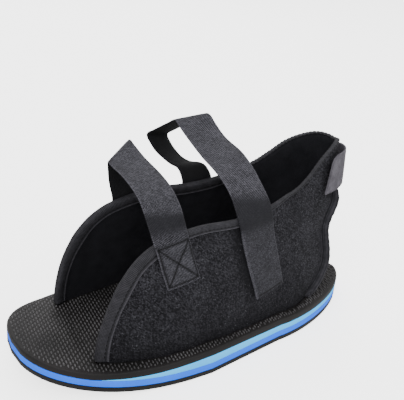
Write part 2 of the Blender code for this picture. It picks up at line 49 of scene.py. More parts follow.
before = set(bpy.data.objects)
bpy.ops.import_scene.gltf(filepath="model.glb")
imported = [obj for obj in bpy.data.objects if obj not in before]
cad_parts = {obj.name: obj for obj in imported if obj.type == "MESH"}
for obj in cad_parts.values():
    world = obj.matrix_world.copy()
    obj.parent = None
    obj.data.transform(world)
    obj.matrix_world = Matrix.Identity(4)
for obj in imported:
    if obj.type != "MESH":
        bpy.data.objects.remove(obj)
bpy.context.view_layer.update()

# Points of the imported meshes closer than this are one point
WELD = 0.000002
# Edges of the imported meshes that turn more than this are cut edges
SHARP_ANGLE = math.radians(35)
# Firm pieces: faces that turn less than the first are one face, and edges that turn more than the second are
# rounded
FLAT_ANGLE = math.radians(0.5)
ROUNDED_ANGLE = math.radians(40)
# Soft pieces: how much the two triangles of a face may turn and its corners differ, and how firmly cut edges
# are kept
JOINED_ANGLE = math.radians(40)
JOINED_SHAPE = math.radians(60)
CUT_EDGE_CREASE = 0.7
# Swept pieces keep edges that turn more than this
SWEPT_ANGLE = math.radians(70)
# Middle of the shoe's inside: its height, and how far it runs toward the heel
INSIDE_HEIGHT = 0.060
INSIDE_HEEL_X = 0.060
# Half the stretch of seam that gives a stitch its direction, as a share of the stitch pitch
STITCH_AIM = 0.3


class ClothSettings(bpy.types.PropertyGroup):
    """Sizes of the canvas upper's weave and of the tapes."""
    weave_pitch: bpy.props.FloatProperty(
        name="Weave pitch", description="Distance between canvas threads", default=0.00070, unit="LENGTH")
    lining_pitch: bpy.props.FloatProperty(
        name="Lining pitch", description="Distance between lining threads", default=0.0009, unit="LENGTH")
    crease_depth: bpy.props.FloatProperty(
        name="Crease depth", description="Depth of a full crease in the upper", default=0.0016, unit="LENGTH")
    tape_rib: bpy.props.FloatProperty(
        name="Tape rib", description="Distance between the tape's ribs", default=0.0010, unit="LENGTH")
    step: bpy.props.FloatProperty(
        name="Mesh step", description="Distance between rows of a tape's mesh", default=0.0010, unit="LENGTH")


class WebbingSettings(bpy.types.PropertyGroup):
    """Sizes of the straps' webbing."""
    step: bpy.props.FloatProperty(
        name="Mesh step", description="Distance between rows of the mesh", default=0.0008, unit="LENGTH")
    rib_pitch: bpy.props.FloatProperty(
        name="Rib pitch", description="Distance between the twill ribs", default=0.00125, unit="LENGTH")
    cord_pitch: bpy.props.FloatProperty(
        name="Cord pitch", description="Distance between the long cords", default=0.00105, unit="LENGTH")


class StitchSettings(bpy.types.PropertyGroup):
    """Sizes of the sewing thread."""
    length: bpy.props.FloatProperty(
        name="Stitch length", description="Length of one stitch", default=0.0025, unit="LENGTH")
    pitch: bpy.props.FloatProperty(
        name="Stitch pitch", description="Distance from stitch to stitch", default=0.0031, unit="LENGTH")
    width: bpy.props.FloatProperty(
        name="Thread width", description="Thickness of the thread", default=0.00065, unit="LENGTH")
    pull: bpy.props.FloatProperty(
        name="Pull", description="Depth of the groove that a row of stitches pulls", default=0.00035,
        unit="LENGTH")


class GrainSettings(bpy.types.PropertyGroup):
    """Sizes of the footbed's raised grains."""
    row_pitch: bpy.props.FloatProperty(
        name="Row pitch", description="Distance between rows of grains along the sole", default=0.0023,
        unit="LENGTH")
    length: bpy.props.FloatProperty(
        name="Grain length", description="Length of one raised grain", default=0.0040, unit="LENGTH")
    width: bpy.props.FloatProperty(
        name="Grain width", description="Width of one raised grain", default=0.0012, unit="LENGTH")
    height: bpy.props.FloatProperty(
        name="Grain height", description="Height of one grain, half of it in the footbed", default=0.0018,
        unit="LENGTH")
    gap: bpy.props.FloatProperty(
        name="Gap", description="Distance between grains in a row", default=0.0006, unit="LENGTH")
    margin: bpy.props.FloatProperty(
        name="Margin", description="Plain border inside the footbed's edge", default=0.0018, unit="LENGTH")


SETTINGS = (("shoe_cloth", ClothSettings), ("shoe_webbing", WebbingSettings),
            ("shoe_stitch", StitchSettings), ("shoe_grain", GrainSettings))
# Rows of stitches that the sewn pieces leave for the stitching: (point, direction, normal) each
SEWN = []


# Mesh helpers

def welded(node):
    """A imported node's mesh with its doubles merged."""
    mesh = bmesh.new()
    mesh.from_mesh(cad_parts[node].data)
    bmesh.ops.remove_doubles(mesh, verts=mesh.verts, dist=WELD)
    mesh.verts.ensure_lookup_table()
    return mesh


def nearest_on(node):
    """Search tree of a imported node's surface."""
    work = welded(node)
    tree = BVHTree.FromBMesh(work)
    work.free()
    return tree


def finished(name, mesh, material):
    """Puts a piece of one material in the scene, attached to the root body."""
    piece = bpy.data.objects.new(name, mesh)
    bpy.context.scene.collection.objects.link(piece)
    mesh.materials.append(material)
    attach(piece, "root")
    return piece


def applied(piece):
    """Turns a piece's modifiers into plain mesh."""
    deps = bpy.context.evaluated_depsgraph_get()
    mesh = bpy.data.meshes.new_from_object(piece.evaluated_get(deps), preserve_all_data_layers=True,
                                           depsgraph=deps)
    piece.modifiers.clear()
    piece.data = mesh
    return mesh


def rounded_copy(name, node, material, radius):
    """A firm piece: the node's own form with its edges rounded."""
    work = welded(node)
    bmesh.ops.dissolve_limit(work, angle_limit=FLAT_ANGLE, verts=work.verts, edges=work.edges)
    mesh = bpy.data.meshes.new(name)
    work.to_mesh(mesh)
    work.free()
    piece = finished(name, mesh, material)
    bevel = piece.modifiers.new("Edges", "BEVEL")
    bevel.width = radius
    bevel.segments = 2
    bevel.limit_method = "ANGLE"
    bevel.angle_limit = ROUNDED_ANGLE
    mesh = applied(piece)
    mesh.shade_smooth()
    mesh.set_sharp_from_angle(angle=SHARP_ANGLE)
    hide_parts(node)


def soft_copy(name, node, material, levels):
    """A soft piece: the node's own form, smoothed, with its cut edges kept."""
    work = welded(node)
    bmesh.ops.join_triangles(work, faces=work.faces, angle_face_threshold=JOINED_ANGLE,
                             angle_shape_threshold=JOINED_SHAPE)
    crease = work.edges.layers.float.new("crease_edge")
    for edge in work.edges:
        if edge.calc_face_angle(0) > SHARP_ANGLE:
            edge[crease] = CUT_EDGE_CREASE
    mesh = bpy.data.meshes.new(name)
    work.to_mesh(mesh)
    work.free()
    piece = finished(name, mesh, material)
    rounding = piece.modifiers.new("Rounding", "SUBSURF")
    rounding.levels = levels
    rounding.render_levels = levels
    applied(piece).shade_smooth()
    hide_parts(node)
    return piece


def unit(vectors):
    """Vectors of length one."""
    return vectors / np.maximum(np.linalg.norm(vectors, axis=-1, keepdims=True), 1e-12)


def cycle_of(level):
    """Vertices of a ring in order round it."""
    order = [min(level, key=lambda v: v.index)]
    while len(order) < len(level):
        nexts = [e.other_vert(order[-1]) for e in order[-1].link_edges]
        nexts = [v for v in nexts if v in level and v not in order]
        order.append(min(nexts, key=lambda v: (v.co - order[-1].co).length) if len(order) > 1 else nexts[0])
    return order


def sections(node, size, toward):
    """Sections of a lofted node, in order from the end that lies furthest toward a direction."""
    work = welded(node)
    toward = Vector(toward)
    level = set(sorted(work.verts, key=lambda v: -v.co.dot(toward))[:size])
    levels = [level]
    done = set(level)
    while len(done) < len(work.verts):
        level = {e.other_vert(v) for v in level for e in v.link_edges} - done
        if len(level) != size:
            raise RuntimeError(node + " isn't a loft of sections of " + str(size))
        done |= level
        levels.append(level)
    last = len(levels) - 1
    rows = [None] * len(levels)
    rows[1] = np.array([v.co for v in cycle_of(levels[1])])
    for i in range(2, last):
        ring = np.array([v.co for v in cycle_of(levels[i])])
        tries = [np.roll(way, k, 0) for way in (ring, ring[::-1]) for k in range(size)]
        rows[i] = min(tries, key=lambda ring: np.linalg.norm(ring - rows[i - 1], axis=1).sum())
    for end, near, far in ((0, 1, 2), (last, last - 1, last - 2)):
        left = [np.array(v.co) for v in levels[end]]
        row = []
        for guess in 2 * rows[near] - rows[far]:
            best = min(range(len(left)), key=lambda k: np.linalg.norm(left[k] - guess))
            row.append(left.pop(best))
        rows[end] = np.array(row)
    work.free()
    return np.array(rows)


def reach(points):
    """Mean distance of points from the middle of the shoe's inside."""
    away = points - np.array((0, 0, INSIDE_HEIGHT))
    away[..., 0] = np.maximum(points[..., 0] - INSIDE_HEEL_X, 0)
    away[..., 2] = np.maximum(away[..., 2], 0)
    return np.linalg.norm(away, axis=-1).mean()


def arcs(rows):
    """Splits sections at their two shortest edges: the two arcs, both from the same end, the longer or outer
    one first."""
    size = rows.shape[1]
    edges = np.linalg.norm(rows - np.roll(rows, -1, 1), axis=2).mean(0)
    first, second = sorted(np.argsort(edges)[:2])
    one = rows[:, first + 1:second + 1]
    other = np.roll(rows, -(second + 1), 1)[:, :size - (second - first)][:, ::-1]
    if (one.shape[1], reach(one)) < (other.shape[1], reach(other)):
        one, other = other, one
    return one, other


def smooth_between(rows, marks, places):
    """Rows at places on smooth curves through rows that stand at given marks."""
    gaps = np.diff(marks)[:, None, None]
    slopes = np.diff(rows, axis=0) / gaps
    inner = (slopes[:-1] * gaps[1:] + slopes[1:] * gaps[:-1]) / (gaps[:-1] + gaps[1:])
    tangents = np.concatenate([slopes[:1], inner, slopes[-1:]])
    index = np.clip(np.searchsorted(marks, places, side="right") - 1, 0, len(marks) - 2)
    run = (marks[index + 1] - marks[index])[:, None, None]
    t = (places - marks[index])[:, None, None] / run
    return (rows[index] * (2 * t ** 3 - 3 * t ** 2 + 1) + tangents[index] * run * (t ** 3 - 2 * t ** 2 + t)
            + rows[index + 1] * (3 * t ** 2 - 2 * t ** 3) + tangents[index + 1] * run * (t ** 3 - t ** 2))


def length_marks(rows):
    """How far along each row lies, by the middles of the rows."""
    middle = rows.mean(1)
    return np.concatenate([[0], np.cumsum(np.linalg.norm(np.diff(middle, axis=0), axis=1))])


def lengthwise(rows, marks, step):
    """Rows about a step apart, and how far along each lies."""
    places = np.linspace(0, marks[-1], int(marks[-1] / step) + 1)
    return smooth_between(rows, marks, places), places


def crosswise(arc, parts):
    """An arc with more points: each stretch cut into parts, on a smooth curve."""
    marks = np.arange(arc.shape[1], dtype=float)
    places = np.linspace(0, marks[-1], (arc.shape[1] - 1) * parts + 1)
    return smooth_between(arc.transpose(1, 0, 2), marks, places).transpose(1, 0, 2)


def surface_normals(arc, away_from):
    """Directions out of a swept arc's surface, on the side that faces away from another arc."""
    normals = unit(np.cross(np.gradient(arc, axis=0), np.gradient(arc, axis=1)))
    side = ((arc - away_from.mean(1, keepdims=True)) * normals).sum(2).mean()
    return normals * (1 if side > 0 else -1)


def tube_mesh(name, rows, facts):
    """Closed mesh through sections, with named numbers for each of its points."""
    count, size = rows.shape[:2]
    faces = []
    for i in range(count - 1):
        for j in range(size):
            k = (j + 1) % size
            faces.append((i * size + j, i * size + k, (i + 1) * size + k, (i + 1) * size + j))
    faces.append(tuple(range(size)))
    faces.append(tuple(range((count - 1) * size, count * size)))
    mesh = bpy.data.meshes.new(name)
    mesh.from_pydata(rows.reshape(-1, 3).tolist(), [], faces)
    for key, values in facts.items():
        values = np.broadcast_to(values, (count, size)).astype(np.float32)
        mesh.attributes.new(key, "FLOAT", "POINT").data.foreach_set("value", np.ravel(values))
    work = bmesh.new()
    work.from_mesh(mesh)
    bmesh.ops.recalc_face_normals(work, faces=work.faces)
    work.to_mesh(mesh)
    work.free()
    mesh.shade_smooth()
    mesh.set_sharp_from_angle(angle=SWEPT_ANGLE)
    return mesh


def sew(surface, normals, spots, pitch):
    """Leaves a row of stitches on a surface, along spots given as (row, column) places on its grid."""
    def at(grid, row, column):
        i = min(int(row), grid.shape[0] - 2)
        j = min(int(column), grid.shape[1] - 2)
        u = row - i
        v = column - j
        return ((grid[i, j] * (1 - v) + grid[i, j + 1] * v) * (1 - u)
                + (grid[i + 1, j] * (1 - v) + grid[i + 1, j + 1] * v) * u)
    spots = np.array(spots, dtype=float)
    path = np.array([at(surface, *spot) for spot in spots])
    marks = np.concatenate([[0], np.cumsum(np.linalg.norm(np.diff(path, axis=0), axis=1))])
    count = max(int(marks[-1] / pitch), 1)
    for k in range(count):
        middle = (k + 0.5) * marks[-1] / count
        ends = []
        for place in (middle - pitch * STITCH_AIM, middle + pitch * STITCH_AIM):
            ends.append(at(surface, *[np.interp(place, marks, spots[:, axis]) for axis in (0, 1)]))
        spot = [np.interp(middle, marks, spots[:, axis]) for axis in (0, 1)]
        SEWN.append((at(surface, *spot), ends[1] - ends[0], at(normals, *spot)))


# Shader helpers

class Sum:
    """A shader value that takes part in plain sums."""

    def __init__(self, tree, socket):
        self.tree = tree
        self.socket = socket

    def put(self, socket, value):
        """Feeds a value, number or vector into a socket."""
        if isinstance(value, Sum):
            self.tree.links.new(value.socket, socket)
        else:
            socket.default_value = value

    def maths(self, operation, *values):
        """Result of a maths node."""
        made = self.tree.nodes.new("ShaderNodeMath")
        made.operation = operation
        for socket, value in zip(made.inputs, values):
            self.put(socket, value)
        return Sum(self.tree, made.outputs[0])

    def node(self, kind, settings=None, **inputs):
        """Output of any other node, with its inputs by name."""
        made = self.tree.nodes.new("ShaderNode" + kind)
        for key, value in (settings or {}).items():
            setattr(made, key, value)
        for key, value in inputs.items():
            self.put(made.inputs[key.replace("_", " ")], value)
        return Sum(self.tree, made.outputs[0])

    def __add__(self, other):
        return self.maths("ADD", self, other)

    def __radd__(self, other):
        return self.maths("ADD", other, self)

    def __sub__(self, other):
        return self.maths("SUBTRACT", self, other)

    def __rsub__(self, other):
        return self.maths("SUBTRACT", other, self)

    def __mul__(self, other):
        return self.maths("MULTIPLY", self, other)

    def __rmul__(self, other):
        return self.maths("MULTIPLY", other, self)

    def __truediv__(self, other):
        return self.maths("DIVIDE", self, other)

    def size(self):
        """The value without its sign."""
        return self.maths("ABSOLUTE", self)

    def wave(self, pitch):
        """Sine of this length over a pitch."""
        return self.maths("SINE", self * (2 * math.pi / pitch))

    def cell(self, pitch):
        """Whole number of pitches in this length."""
        return self.maths("FLOOR", self / pitch)

    def step(self, low, high):
        """0 below low, 1 above high, smooth between."""
        return self.node("MapRange", {"interpolation_type": "SMOOTHSTEP"}, Value=self, From_Min=low,
                         From_Max=high)

    def between(self, low, high, soft):
        """1 between two values, 0 outside them."""
        return self.step(low - soft, low + soft) * (1 - self.step(high - soft, high + soft))

    def mix(self, low, high):
        """Colour between two, by this share."""
        made = self.tree.nodes.new("ShaderNodeMix")
        made.data_type = "RGBA"
        for socket, value in ((made.inputs[0], self), (made.inputs[6], low), (made.inputs[7], high)):
            self.put(socket, value)
        return Sum(self.tree, made.outputs[2])


class Finish:
    """A material with its principled shader, places on the object and named numbers of the mesh."""

    def __init__(self, name):
        self.material = bpy.data.materials.new(name)
        self.material.use_nodes = True
        self.tree = self.material.node_tree
        self.shader = self.tree.nodes["Principled BSDF"]
        self.start = Sum(self.tree, self.tree.nodes.new("ShaderNodeTexCoord").outputs["Object"])

    def fact(self, name):
        """A named number of the mesh's points."""
        made = self.tree.nodes.new("ShaderNodeAttribute")
        made.attribute_name = name
        return Sum(self.tree, made.outputs["Fac"])

    def noise(self, size, detail=2.0, roughness=0.5):
        """Smooth noise with patches of about a given size."""
        return self.start.node("TexNoise", Vector=self.start, Scale=1 / size, Detail=detail,
                               Roughness=roughness)

    def chance(self, first, second):
        """Random number for each pair of whole numbers."""
        pair = self.start.node("CombineXYZ", X=first, Y=second)
        return self.start.node("TexWhiteNoise", {"noise_dimensions": "2D"}, Vector=pair)

    def done(self, colour, roughness, height=None, depth=0.0003, **constants):
        """Joins colour, roughness and relief to the shader."""
        self.start.put(self.shader.inputs["Base Color"], colour)
        self.start.put(self.shader.inputs["Roughness"], roughness)
        if height is not None:
            bump = self.start.node("Bump", Height=height, Distance=depth, Strength=1.0)
            self.start.put(self.shader.inputs["Normal"], bump)
        for key, value in constants.items():
            self.shader.inputs[key.replace("_", " ")].default_value = value
        return self.material


CANVAS_DARK = (0.0030, 0.0030, 0.0040, 1)
CANVAS_LIGHT = (0.0520, 0.0510, 0.0600, 1)
CANVAS_SPECK = (0.0900, 0.0900, 0.1000, 1)
LINING_DARK = (0.0030, 0.0030, 0.0040, 1)
LINING_LIGHT = (0.0140, 0.0140, 0.0170, 1)
TAPE_DARK = (0.0080, 0.0080, 0.0100, 1)
TAPE_LIGHT = (0.0560, 0.0540, 0.0630, 1)
WEB_DARK = (0.0060, 0.0060, 0.0080, 1)
WEB_LIGHT = (0.1080, 0.1060, 0.1250, 1)
# Painted shade for the webbing's underside and for the grooves under its stitches
WEB_PAINTED_SHADE = (0.0030, 0.0030, 0.0040, 1)
PILE_DARK = (0.0400, 0.0370, 0.0440, 1)
PILE_LIGHT = (0.1250, 0.1180, 0.1350, 1)
RUBBER_BLACK = (0.0018, 0.0015, 0.0015, 1)
RUBBER_WORN = (0.0075, 0.0060, 0.0060, 1)
# Painted highlight: the footbed's grains are a lighter copy of its black rubber, standing in for light on
# their tops
GRAIN_HIGHLIGHT_DARK = (0.0220, 0.0210, 0.0220, 1)
GRAIN_HIGHLIGHT_LIGHT = (0.0800, 0.0770, 0.0810, 1)
FOAM_MID = (0.0030, 0.1200, 0.8000, 1)
FOAM_MID_LIGHT = (0.0100, 0.1600, 0.9200, 1)
FOAM_SKY = (0.0300, 0.4300, 0.9500, 1)
FOAM_SKY_LIGHT = (0.0600, 0.5300, 1.0000, 1)
THREAD_DARK = (0.0012, 0.0012, 0.0016, 1)
THREAD_LIGHT = (0.00216, 0.00216, 0.00288, 1)
# Softness of both ends of the webbing's lighter patch, and the length over which the painted highlight on its
# folded edge fades
PATCH_SOFT = 0.001
FOLD_HIGHLIGHT_FADE = 0.012


def canvas_material(cloth):
    """Fine diagonal canvas with a few pale specks, darker where it is shaded, and its dark lining."""
    finish = Finish("canvas")
    along = finish.fact("along")
    up = finish.fact("up")
    inside = finish.fact("inside")
    pitch = cloth.weave_pitch
    warp = (along + up) * 0.71
    weft = (along - up) * 0.71
    weave = warp.wave(2 * pitch) * weft.wave(2 * pitch)
    thread = finish.chance(warp.cell(pitch), weft.cell(pitch * 1.6))
    lit = thread * 0.50 + weave * 0.20 + finish.noise(0.022, 3.0) * 0.40 - 0.12
    lit = lit * (1 - finish.fact("shade") * 0.7)
    colour = lit.step(0.0, 1.0).mix(CANVAS_DARK, CANVAS_LIGHT)
    speck = (thread * 0.8 + finish.noise(0.0035) * 0.4).step(1.00, 1.03)
    colour = (speck * 0.3).mix(colour, CANVAS_SPECK)
    plain = along.wave(2 * cloth.lining_pitch) * up.wave(2 * cloth.lining_pitch)
    lining = (finish.noise(0.010, 3.0) + plain * 0.1).mix(LINING_DARK, LINING_LIGHT)
    height = weave * 0.5 + thread * 0.4 + finish.noise(0.0006) * 0.3
    height = height * (1 - inside * 0.7)
    return finish.done(inside.mix(colour, lining), roughness=0.93, height=height, depth=0.00045,
                       Specular_IOR_Level=0.12)


def tape_material(name, cloth):
    """Ribbed binding tape, with a painted highlight on its folded inner edge, and dark in its seam."""
    finish = Finish(name)
    along = finish.fact("along")
    share = finish.fact("share")
    rib = along.wave(cloth.tape_rib)
    cross = finish.fact("across").wave(0.0009)
    seam = 1 - (share - 0.80).size().step(0.01, 0.07)
    # Painted highlight along the tape's folded inner edge
    edge = share.step(0.88, 0.94)
    lit = rib * 0.14 + cross * 0.12 + finish.noise(0.004, 3.0) * 0.5 + edge * 0.25 - seam * 0.35
    colour = lit.step(0.0, 0.9).mix(TAPE_DARK, TAPE_LIGHT)
    height = rib * 0.35 + cross * 0.35 + finish.noise(0.0008) * 0.3
    return finish.done(colour, roughness=0.85, height=height, depth=0.00022, Specular_IOR_Level=0.2)


def webbing_material(name, webbing, bands, patch=None, fold_highlight_end=None):
    """Woven webbing: twill ribs over long cords, with plain dark bands along it, painted highlights on its
    edges, painted shade in the grooves under its stitches and on its underside. It may have one lighter
    patch, and a painted highlight along an edge folded up to a given place."""
    finish = Finish(name)
    along = finish.fact("along")
    across = finish.fact("across")
    share = finish.fact("share")
    under = finish.fact("under")
    twill = (along + across * 0.9).wave(webbing.rib_pitch)
    cords = across.wave(webbing.cord_pitch)
    thread = finish.chance(along.cell(webbing.rib_pitch * 0.5), across.cell(webbing.cord_pitch))
    band = along * 0.0
    for start, end, soft in bands:
        band = band + along.between(start, end, soft)
    # Painted highlight along both edges of the webbing
    painted_edge_highlight = (share - 0.5).size().step(0.45, 0.49)
    lit = twill * 0.26 + cords * 0.12 + thread * 0.36 + finish.noise(0.009, 3.0) * 0.35
    lit = lit * (along.step(0.035, 0.085) * 0.30 + 0.70) + painted_edge_highlight * 0.10
    if patch:
        lit = lit + along.between(*patch, PATCH_SOFT) * 0.10
    # Painted highlight along the folded edge, fading out toward its end
    if fold_highlight_end:
        lit = lit + share.step(0.925, 0.95) * (1 - along.step(fold_highlight_end - FOLD_HIGHLIGHT_FADE, fold_highlight_end)) * 0.12
    lit = lit * (1 - band * 0.70)
    colour = lit.step(0.0, 1.0).mix(WEB_DARK, WEB_LIGHT)
    # Painted shade in the grooves that the stitches pull
    colour = (finish.fact("groove") * 0.92).mix(colour, WEB_PAINTED_SHADE)
    # Painted shade: the strap's underside, which faces the upper, is painted near-black
    colour = under.mix(colour, WEB_PAINTED_SHADE)
    height = (twill * 0.5 + cords * 0.35 + thread * 0.3) * (1 - band * 0.6)
    return finish.done(colour, roughness=0.88, height=height, depth=0.00035, Specular_IOR_Level=0.2)


def pile_material():
    """Short loop pile of the heel tab."""
    finish = Finish("loop_pile")
    fuzz = finish.noise(0.0007, 4.0, 0.7)
    patch = finish.noise(0.006, 2.0)
    colour = (fuzz * 0.7 + patch * 0.5 - 0.1).step(0.15, 0.85).mix(PILE_DARK, PILE_LIGHT)
    return finish.done(colour, roughness=0.97, height=fuzz, depth=0.0006, Specular_IOR_Level=0.15)


def rubber_material(name, dark=RUBBER_BLACK, light=RUBBER_WORN):
    """Matt black rubber, a little worn and dusty."""
    finish = Finish(name)
    fine = finish.noise(0.0012, 4.0, 0.6)
    broad = finish.noise(0.030, 3.0)
    colour = (fine * 0.5 + broad * 0.6).step(0.35, 0.80).mix(dark, light)
    return finish.done(colour, roughness=fine * 0.25 + 0.50, height=fine, depth=0.00012,
                       Specular_IOR_Level=0.25)


def foam_material(name, base, light):
    """Closed-cell foam rubber, cut at its edge."""
    finish = Finish(name)
    cells = finish.noise(0.0007, 3.0, 0.6)
    broad = finish.noise(0.022, 2.0)
    colour = (cells * 0.5 + broad * 0.6).step(0.30, 0.80).mix(base, light)
    return finish.done(colour, roughness=cells * 0.2 + 0.62, height=cells, depth=0.00012,
                       Specular_IOR_Level=0.2)


def thread_material():
    """Sewing thread."""
    finish = Finish("thread")
    colour = finish.noise(0.0015).mix(THREAD_DARK, THREAD_LIGHT)
    return finish.done(colour, roughness=0.7, height=finish.noise(0.0003), depth=0.0001,
                       Specular_IOR_Level=0.2)


# The upper

# Soft creases in the side walls: which side, both ends along X and Z, depth as a share of the crease depth
# (a ridge where it is below zero) and width
CREASES = (
    (-1, -0.072, 0.058, -0.050, 0.030, 0.35, 0.011),
    (-1, -0.018, 0.088, -0.016, 0.040, 0.30, 0.011),
    (-1, 0.066, 0.092, 0.048, 0.050, 0.45, 0.013),
    (-1, 0.082, 0.060, 0.046, 0.034, 0.50, 0.012),
    (-1, 0.026, 0.036, 0.072, 0.028, 0.35, 0.009),
    (1, -0.060, 0.074, -0.035, 0.034, 0.45, 0.012),
    (1, 0.066, 0.088, 0.050, 0.046, 0.50, 0.013),
    (1, 0.020, 0.040, 0.070, 0.030, 0.35, 0.010),
)
# A crease fades toward its ends like half a wave with this share cut off at each end, to this power
CREASE_END = 0.08
CREASE_FULLNESS = 0.6
# Where the side walls begin to turn round the heel, and the mean radius of that turn
HEEL_TURN_X = 0.050
HEEL_TURN_RADIUS = 0.046


def outward_of(points):
    """Level directions out of the upper's wall."""
    return unit(np.stack([np.maximum(points[:, 0] - HEEL_TURN_X, 0), points[:, 1], 0 * points[:, 0]], 1))


def length_round(points):
    """Length along the wall, from the near side's toe end round the heel to the far side's."""
    turn = np.arctan2(np.maximum(points[:, 0] - HEEL_TURN_X, 0), np.abs(points[:, 1]))
    half = HEEL_TURN_X + HEEL_TURN_RADIUS * math.pi / 2
    along = np.where(points[:, 0] < HEEL_TURN_X, points[:, 0], HEEL_TURN_X + turn * HEEL_TURN_RADIUS)
    return np.where(points[:, 1] < 0, along, 2 * half - along)


def creased(points, depth_of_one):
    """Moves the upper's points in or out along its creases."""
    shift = np.zeros(len(points))
    flat = points[:, [0, 2]]
    for side, x0, z0, x1, z1, depth, width in CREASES:
        start = np.array((x0, z0))
        run = np.array((x1, z1)) - start
        t = np.clip(((flat - start) @ run) / (run @ run), 0, 1)
        away = np.linalg.norm(flat - start - t[:, None] * run, axis=1)
        fade = np.sin(np.pi * (t * (1 - 2 * CREASE_END) + CREASE_END)) ** CREASE_FULLNESS
        shift -= (np.sign(points[:, 1]) == side) * depth * fade * np.exp(-(away / width) ** 2)
    return points + outward_of(points) * (shift * depth_of_one)[:, None]


# How far the rear strap and the footbed darken the canvas beside them, how much the footbed does at most, and
# how much of the rounding that moves the wall off its packed surface is taken back
STRAP_SHADE = 0.012
FOOT_SHADE = 0.016
FOOT_SHADE_MOST = 0.75
PUT_BACK = 0.85


def make_upper(cloth):
    """The canvas wall with its lining."""
    mesh = soft_copy("canvas_upper", "upper", canvas_material(cloth), 2).data
    points = np.zeros(len(mesh.vertices) * 3)
    mesh.vertices.foreach_get("co", points)
    points = points.reshape(-1, 3)
    wall = nearest_on("upper")
    packed = np.array([wall.find_nearest(Vector(point))[0] for point in points])
    points = points + (packed - points) * PUT_BACK
    normals = np.array([v.vector for v in mesh.vertex_normals])
    inside = ((normals * outward_of(points)).sum(1) < 0).astype(float)
    strap = nearest_on("rear_strap")
    bed = nearest_on("footbed")
    shade = []
    for point in points:
        beside, _, _, gap = strap.find_nearest(Vector(point))
        by_strap = max(1 - gap / STRAP_SHADE, 0) if beside.x > point[0] else 0
        by_foot = FOOT_SHADE_MOST * math.exp(-bed.find_nearest(Vector(point))[3] / FOOT_SHADE)
        shade.append(max(by_strap, by_foot))
    facts = (("along", length_round(points)), ("up", points[:, 2]), ("inside", inside), ("shade", shade))
    for key, values in facts:
        mesh.attributes.new(key, "FLOAT", "POINT").data.foreach_set("value", np.array(values, np.float32))
    mesh.vertices.foreach_set("co", creased(points, cloth.crease_depth).ravel())
    mesh.update()


# Tapes

# Points in a section, the way toward the first section, and how finely a section is cut
TAPE_SECTION = 14
TAPE_FOOT = (-0.25, -0.5, -1)
TAPE_PARTS = 3
SEAM_SECTION = 6
SEAM_FOOT = (0.2, 0, -1)
SEAM_PARTS = 4
# How much of the seam tape's depth follows the canvas, and how deep it is sewn into it
SEAM_FOOT_DEPTH = 0.0035
SEAM_BITE = 0.0014
# Way across the seam tape, its width, and the pitch and depth of its puckers
SEAM_ACROSS = (0.80, -0.60, 0)
SEAM_WIDTH = 0.007
PUCKER_PITCH = 0.0062
PUCKER_DEPTH = 0.00012
# Where the binding's stitches run, as a share of its leg, and the dent that they pull: its width as a share
# of the leg, its depth, and how much the depth changes along each stitch
TAPE_SEAM = 0.80
SEAM_DENT_WIDTH = 0.07
SEAM_DENT = 0.00030
STITCH_DENT = 0.00010
# Soft ridges along the binding's leg and its edge: place and width as shares of the leg, and height
LEG_RIDGE = (0.45, 0.22, 0.00030)
EDGE_RIDGE = (0.96, 0.06, 0.00012)
# Sections of the binding no longer than the first stay flat, and the relief is full where they are longer by
# the second
FLAT_LENGTH = 0.005
RELIEF_LENGTH = 0.006
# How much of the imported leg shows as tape, by place along X on the near side
LEG_PLACES = (-0.100, -0.052, -0.036, 0.020, 0.036, 0.050)
LEG_SHARES = (0.92, 0.85, 0.62, 0.62, 0.40, 0.34)
# The same on the far side, up to where it narrows to the near side's last share round the heel
FAR_LEG_SHARE = 0.80
FAR_LEG_PLACES = (0.040, 0.056)
# Rows on each side over which the leg's length is evened out
EVENED_ROWS = 12


def lengths_across(arc):
    """Length along each row of an arc, from its first point."""
    lengths = np.linalg.norm(np.diff(arc, axis=1), axis=2)
    return np.concatenate([np.zeros((len(arc), 1)), np.cumsum(lengths, axis=1)], 1)


def drawn_in(arc, keep):
    """An arc with both ends drawn in toward its middle, to a share of their length in each row, so that the
    length left changes gently from row to row."""
    marks = lengths_across(arc)
    half = marks[:, -1:] / 2
    window = np.hanning(2 * EVENED_ROWS + 3)[1:-1]
    padded = np.pad(half[:, 0] * keep, EVENED_ROWS, mode="edge")
    kept = np.minimum(np.convolve(padded, window / window.sum(), mode="valid"), half[:, 0])[:, None]
    wanted = half + (marks - half) * kept / half
    return np.array([np.stack([np.interp(spots, mark, row[:, axis]) for axis in range(3)], 1)
                     for row, mark, spots in zip(arc, marks, wanted)])


def ridge(share, place, width, height):
    """Height of a soft ridge across a piece."""
    return np.exp(-((share - place) / width) ** 2) * height


